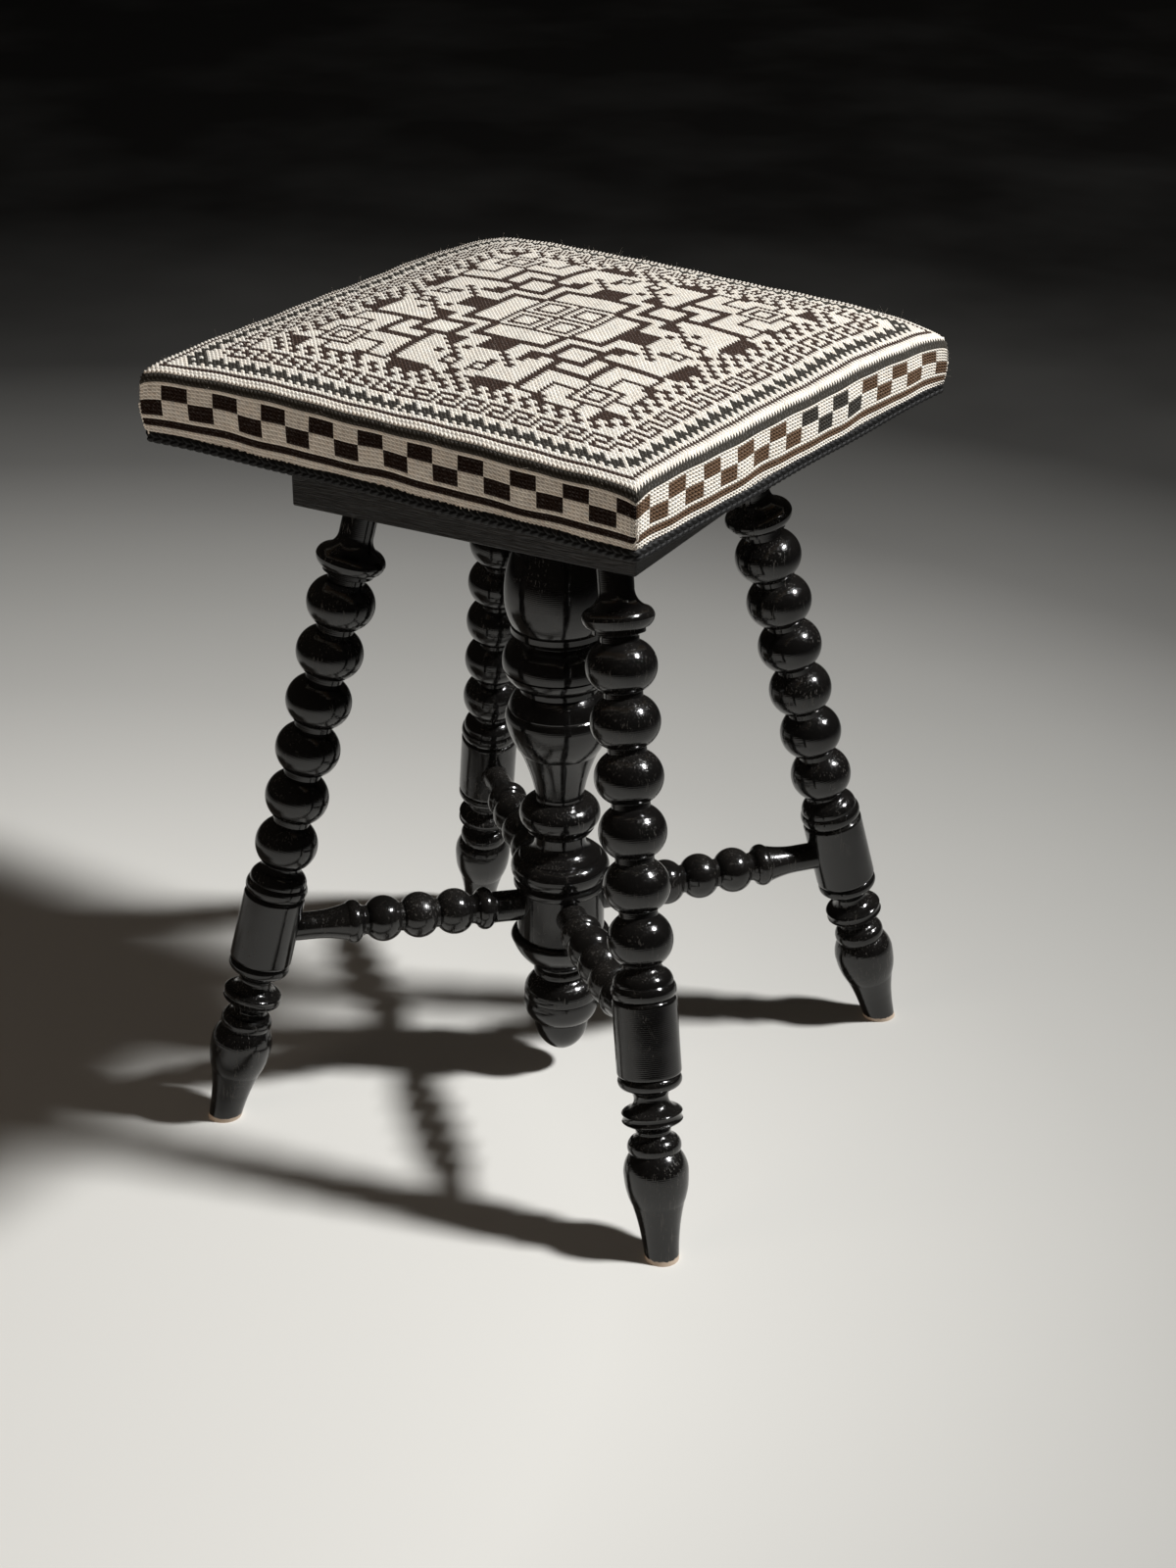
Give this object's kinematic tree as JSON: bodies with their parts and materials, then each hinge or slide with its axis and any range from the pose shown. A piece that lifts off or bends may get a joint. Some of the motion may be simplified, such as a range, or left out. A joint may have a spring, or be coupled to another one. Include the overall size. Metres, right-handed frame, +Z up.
{
  "type": "piano stool",
  "caption": "Revolving piano stool: ebonised bobbin-turned splayed legs and stretchers round a turned column, with a square needlepoint seat raised by a screw.",
  "frame": {"origin": "on the floor, under the axis of the column and of the seat's screw", "axes": "+Z up along the screw's axis; the base board's sides lie along X and Y, and the legs on the diagonals"},
  "size_m": [0.3752, 0.3752, 0.52],
  "materials": {
    "ebonised_wood": "gloss black polish",
    "bare_wood": "unfinished",
    "iron": "black japanned",
    "steel": "dull, oiled",
    "blued_steel": "blued",
    "stuffing": "fibre",
    "needlepoint": "wool stitches",
    "black_braid": "braided"
  },
  "bodies": {
    "base": {"top_board": "ebonised_wood", "column": "ebonised_wood", "drop_finial": "ebonised_wood", "finial_dowel": "bare_wood", "spindle_nut": "iron", "nut_screws": "steel", "front_right_leg": "ebonised_wood", "front_right_stretcher": "ebonised_wood", "back_right_leg": "ebonised_wood", "back_right_stretcher": "ebonised_wood", "back_left_leg": "ebonised_wood", "back_left_stretcher": "ebonised_wood", "front_left_leg": "ebonised_wood", "front_left_stretcher": "ebonised_wood"},
    "lift": {"stop_washer": "steel"},
    "seat": {"seat_board": "bare_wood", "seat_stuffing": "stuffing", "seat_cover": "needlepoint", "gimp_braid": "black_braid", "cover_tacks": "blued_steel", "seat_flange": "iron", "flange_screws": "steel", "seat_spindle": "steel", "end_screw": "steel"}
  },
  "joints": [
    {"name": "seat_rise", "type": "slide", "parent": "base", "child": "lift", "axis": [0, 0, 1], "range_m": [0, 0.1]},
    {"name": "seat_turn", "type": "hinge", "parent": "lift", "child": "seat", "pos_m": [0, 0, 0.452], "axis": [0, 0, 1], "range_deg": [0, 3600]}
  ],
  "couplings": [
    {"joint": "seat_rise", "follows": "seat_turn", "m_per_rad": 0.0015915}
  ]
}
